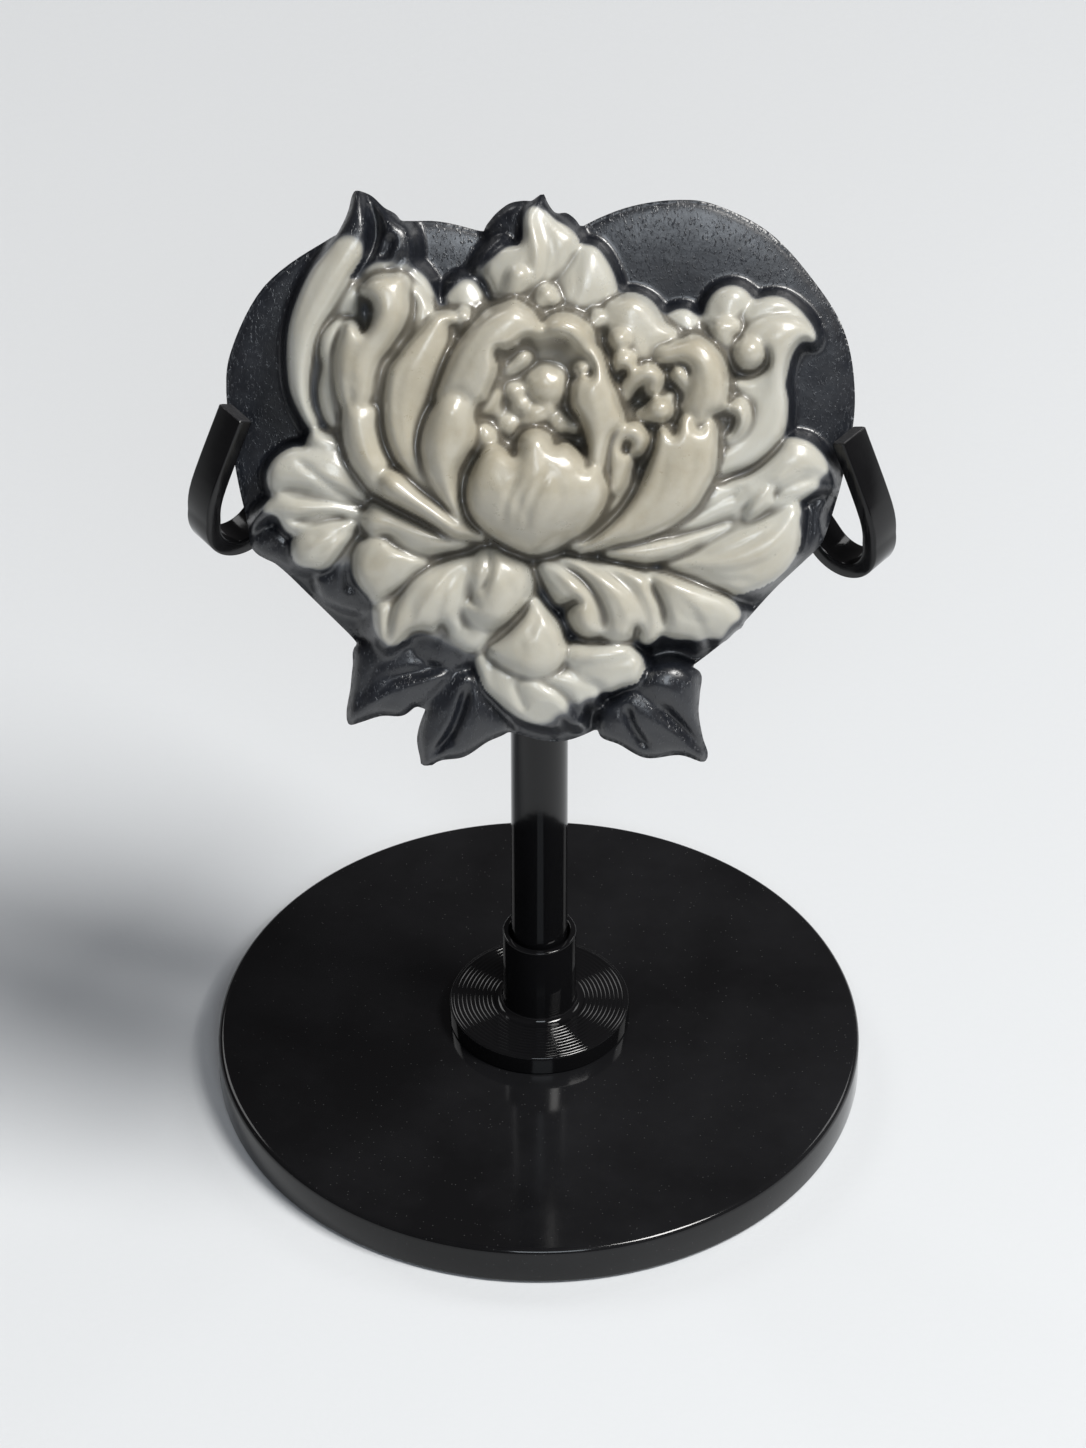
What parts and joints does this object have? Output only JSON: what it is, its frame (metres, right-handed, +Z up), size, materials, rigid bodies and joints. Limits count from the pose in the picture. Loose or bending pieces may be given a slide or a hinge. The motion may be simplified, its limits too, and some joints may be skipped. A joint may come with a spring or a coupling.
{
  "type": "stone relief carving on display stand",
  "caption": "Heart-shaped stone plate carved with an open peony and leaves in relief, leaning in the claws of a black post display stand on a disc base.",
  "frame": {"origin": "centre of the base disc's flat underside", "axes": "+Z up; the carved face of the stone looks along -Y and leans back; +X is to the right as a viewer sees it"},
  "size_m": [0.0936, 0.092, 0.1623],
  "materials": {
    "stone": "pale warm grey upper layer over a blue-black lower layer, polished to a soft shine",
    "strip_metal": "gloss black paint",
    "lacquer": "gloss black lacquer",
    "base_lacquer": "smooth black lacquer, slightly softer than the post, with fine dust"
  },
  "bodies": {
    "root": {"relief_carving": "stone", "cradle_arm_left": "strip_metal", "cradle_arm_right": "strip_metal", "cradle_hub": "lacquer", "stand_post": "lacquer", "stand_collar": "lacquer", "stand_base": "base_lacquer"}
  },
  "joints": []
}
